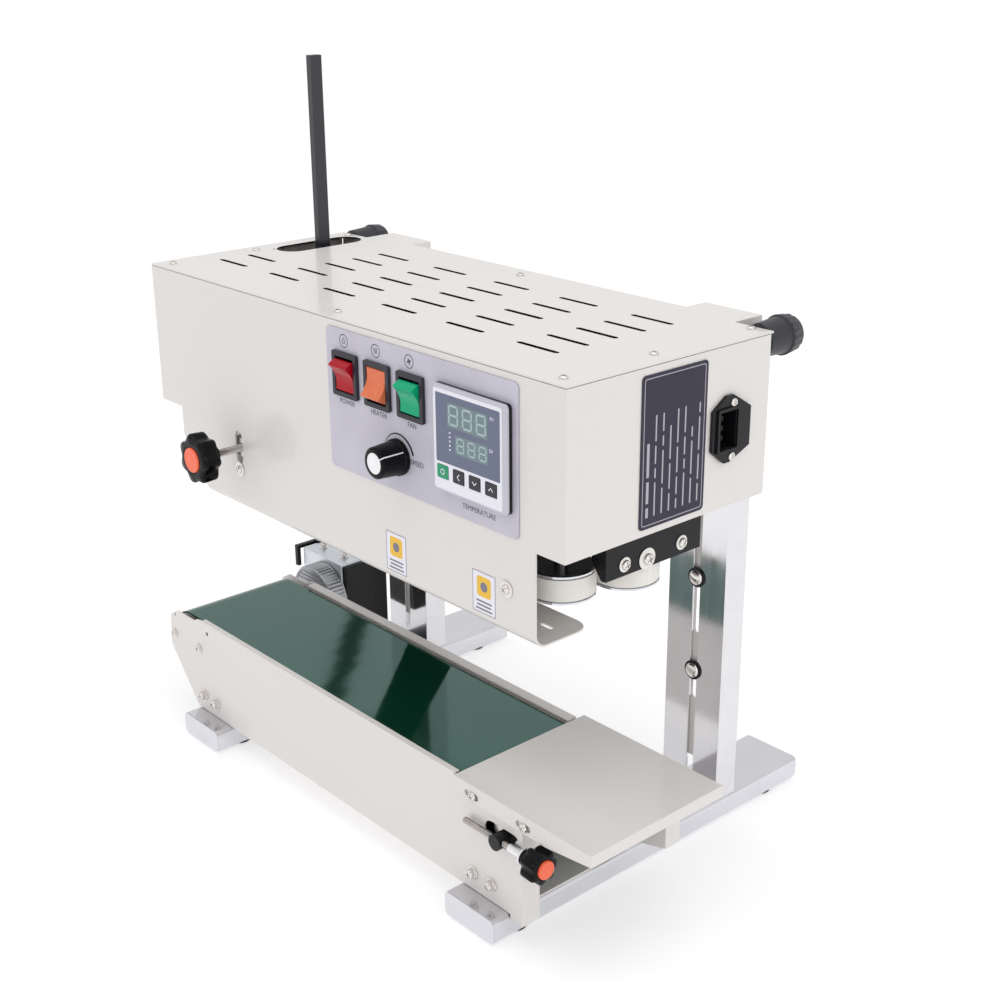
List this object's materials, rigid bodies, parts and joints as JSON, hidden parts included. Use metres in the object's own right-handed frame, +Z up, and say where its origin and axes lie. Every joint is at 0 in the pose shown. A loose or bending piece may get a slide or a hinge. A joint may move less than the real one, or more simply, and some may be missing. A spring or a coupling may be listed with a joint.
{
  "type": "continuous band sealer",
  "caption": "Vertical continuous band sealer: a vented sealing head with controls, sliding on two slotted columns above a flat belt conveyor with an exit table.",
  "frame": {"origin": "centre of the footprint on the plane of the rubber pads", "axes": "+Z up, +X along the conveyor towards the exit table, -Y towards the operator and the control panel"},
  "size_m": [0.5596, 0.357, 0.5775],
  "materials": {
    "ivory_paint": "semi-gloss powder coat",
    "chrome_plate": "polished",
    "bright_steel": "turned",
    "zinc_plate": "zinc plated",
    "heater_brass": "machined",
    "cooler_aluminium": "machined",
    "black_plastic": "satin",
    "black_metal": "satin",
    "black_rubber": "matt",
    "belt_green": "glossy",
    "sealing_band": "coated glass cloth",
    "panel_grey": "printed foil",
    "cap_orange": "moulded",
    "rocker_red": "translucent moulding",
    "rocker_orange": "translucent moulding",
    "rocker_green": "translucent moulding",
    "label_dark": "printed film",
    "key_plastic": "moulded"
  },
  "bodies": {
    "base": {"right_foot": "chrome_plate", "left_foot": "chrome_plate", "right_column": "chrome_plate", "left_column": "chrome_plate", "conveyor_frame": "ivory_paint", "conveyor_belt": "belt_green", "belt_motor": "black_metal", "belt_gearhead": "cooler_aluminium", "motor_plate": "zinc_plate", "motor_strap": "black_metal"},
    "head": {"head_shell": "ivory_paint", "head_frame": "ivory_paint", "top_cover": "ivory_paint", "left_strap": "ivory_paint", "right_strap": "ivory_paint", "left_bolt_lower": "bright_steel", "left_bolt_upper": "bright_steel", "right_bolt_lower": "bright_steel", "right_bolt_upper": "bright_steel", "control_plate": "panel_grey", "rocker_housing_red": "black_plastic", "rocker_housing_orange": "black_plastic", "rocker_housing_green": "black_plastic", "temperature_controller": "black_plastic", "power_inlet": "black_plastic", "rating_plate": "label_dark", "front_band": "sealing_band", "rear_band": "sealing_band", "front_heater": "heater_brass", "rear_heater": "heater_brass", "front_cooler": "cooler_aluminium", "rear_cooler": "cooler_aluminium", "exit_bracket": "black_metal", "head_motor": "black_metal", "left_bumper": "black_rubber", "right_bumper": "black_rubber"},
    "lever": {"release_lever": "black_metal"},
    "rocker_red": {"rocker_red": "rocker_red"},
    "rocker_orange": {"rocker_orange": "rocker_orange"},
    "rocker_green": {"rocker_green": "rocker_green"},
    "speed_knob": {"speed_knob": "black_plastic"},
    "key_set": {"controller_key_set": "key_plastic"},
    "key_left": {"controller_key_left": "key_plastic"},
    "key_down": {"controller_key_down": "key_plastic"},
    "key_up": {"controller_key_up": "key_plastic"},
    "pressure_slide": {"pressure_block": "bright_steel"},
    "pressure_knob": {"pressure_knob": "black_plastic", "pressure_knob_cap": "cap_orange", "pressure_rod": "bright_steel"},
    "front_drive_wheel": {"front_drive_wheel": "bright_steel"},
    "rear_drive_wheel": {"rear_drive_wheel": "bright_steel"},
    "front_exit_wheel": {"front_exit_wheel": "bright_steel"},
    "rear_exit_wheel": {"rear_exit_wheel": "bright_steel"},
    "drive_roller": {"drive_roller": "bright_steel"},
    "idler_shaft": {"idler_shaft": "black_metal"},
    "idler_roller": {"idler_roller": "bright_steel"},
    "tension_knob": {"tension_screw": "bright_steel", "tension_knob": "black_plastic", "tension_knob_cap": "cap_orange"},
    "exit_table": {"exit_table": "ivory_paint"}
  },
  "joints": [
    {"name": "head_height", "type": "slide", "parent": "base", "child": "head", "axis": [0, 0, 1], "range_m": [-0.02, 0.04]},
    {"name": "lever_tilt", "type": "hinge", "parent": "head", "child": "lever", "pos_m": [-0.2316, 0.02, 0.3325], "axis": [1, 0, 0], "range_deg": [-18, 18]},
    {"name": "rocker_red_tilt", "type": "hinge", "parent": "head", "child": "rocker_red", "pos_m": [0.0117, -0.1325, 0.3773], "axis": [1, 0, 0], "range_deg": [-36, 0]},
    {"name": "rocker_orange_tilt", "type": "hinge", "parent": "head", "child": "rocker_orange", "pos_m": [0.0492, -0.1325, 0.3773], "axis": [1, 0, 0], "range_deg": [0, 36]},
    {"name": "rocker_green_tilt", "type": "hinge", "parent": "head", "child": "rocker_green", "pos_m": [0.0867, -0.1325, 0.3773], "axis": [1, 0, 0], "range_deg": [-36, 0]},
    {"name": "speed_turn", "type": "hinge", "parent": "head", "child": "speed_knob", "pos_m": [0.0698, -0.133, 0.3297], "axis": [0, 1, 0], "range_deg": [-210, 90]},
    {"name": "key_set_press", "type": "slide", "parent": "head", "child": "key_set", "axis": [0, 1, 0], "range_m": [0, 0.0008], "stiffness_N_per_m": 400},
    {"name": "key_left_press", "type": "slide", "parent": "head", "child": "key_left", "axis": [0, 1, 0], "range_m": [0, 0.0008], "stiffness_N_per_m": 400},
    {"name": "key_down_press", "type": "slide", "parent": "head", "child": "key_down", "axis": [0, 1, 0], "range_m": [0, 0.0008], "stiffness_N_per_m": 400},
    {"name": "key_up_press", "type": "slide", "parent": "head", "child": "key_up", "axis": [0, 1, 0], "range_m": [0, 0.0008], "stiffness_N_per_m": 400},
    {"name": "pressure_height", "type": "slide", "parent": "head", "child": "pressure_slide", "axis": [0, 0, 1], "range_m": [-0.008, 0.008]},
    {"name": "pressure_turn", "type": "hinge", "parent": "pressure_slide", "child": "pressure_knob", "pos_m": [-0.1443, -0.133, 0.2825], "axis": [0, 1, 0], "continuous": true},
    {"name": "front_drive_spin", "type": "hinge", "parent": "head", "child": "front_drive_wheel", "pos_m": [-0.1878, -0.09, 0.252], "axis": [0, 0, 1], "continuous": true},
    {"name": "rear_drive_spin", "type": "hinge", "parent": "head", "child": "rear_drive_wheel", "pos_m": [-0.1878, -0.041, 0.252], "axis": [0, 0, 1], "continuous": true},
    {"name": "front_exit_spin", "type": "hinge", "parent": "head", "child": "front_exit_wheel", "pos_m": [0.1892, -0.09, 0.252], "axis": [0, 0, 1], "continuous": true},
    {"name": "rear_exit_spin", "type": "hinge", "parent": "head", "child": "rear_exit_wheel", "pos_m": [0.2022, -0.041, 0.252], "axis": [0, 0, 1], "continuous": true},
    {"name": "drive_roller_spin", "type": "hinge", "parent": "base", "child": "drive_roller", "pos_m": [-0.2332, -0.088, 0.0805], "axis": [0, 1, 0], "continuous": true},
    {"name": "idler_tension", "type": "slide", "parent": "base", "child": "idler_shaft", "axis": [1, 0, 0], "range_m": [-0.004, 0]},
    {"name": "idler_roller_spin", "type": "hinge", "parent": "idler_shaft", "child": "idler_roller", "pos_m": [0.1917, -0.088, 0.0805], "axis": [0, 1, 0], "continuous": true},
    {"name": "tension_turn", "type": "hinge", "parent": "base", "child": "tension_knob", "pos_m": [0.2272, -0.1508, 0.0805], "axis": [1, 0, 0], "continuous": true},
    {"name": "table_shift", "type": "slide", "parent": "base", "child": "exit_table", "axis": [1, 0, 0], "range_m": [0, 0.004]}
  ],
  "couplings": [
    {"joint": "rear_drive_spin", "follows": "front_drive_spin", "ratio": -1},
    {"joint": "front_exit_spin", "follows": "front_drive_spin", "ratio": 1},
    {"joint": "rear_exit_spin", "follows": "front_drive_spin", "ratio": -1},
    {"joint": "idler_roller_spin", "follows": "drive_roller_spin", "ratio": 1.54}
  ]
}
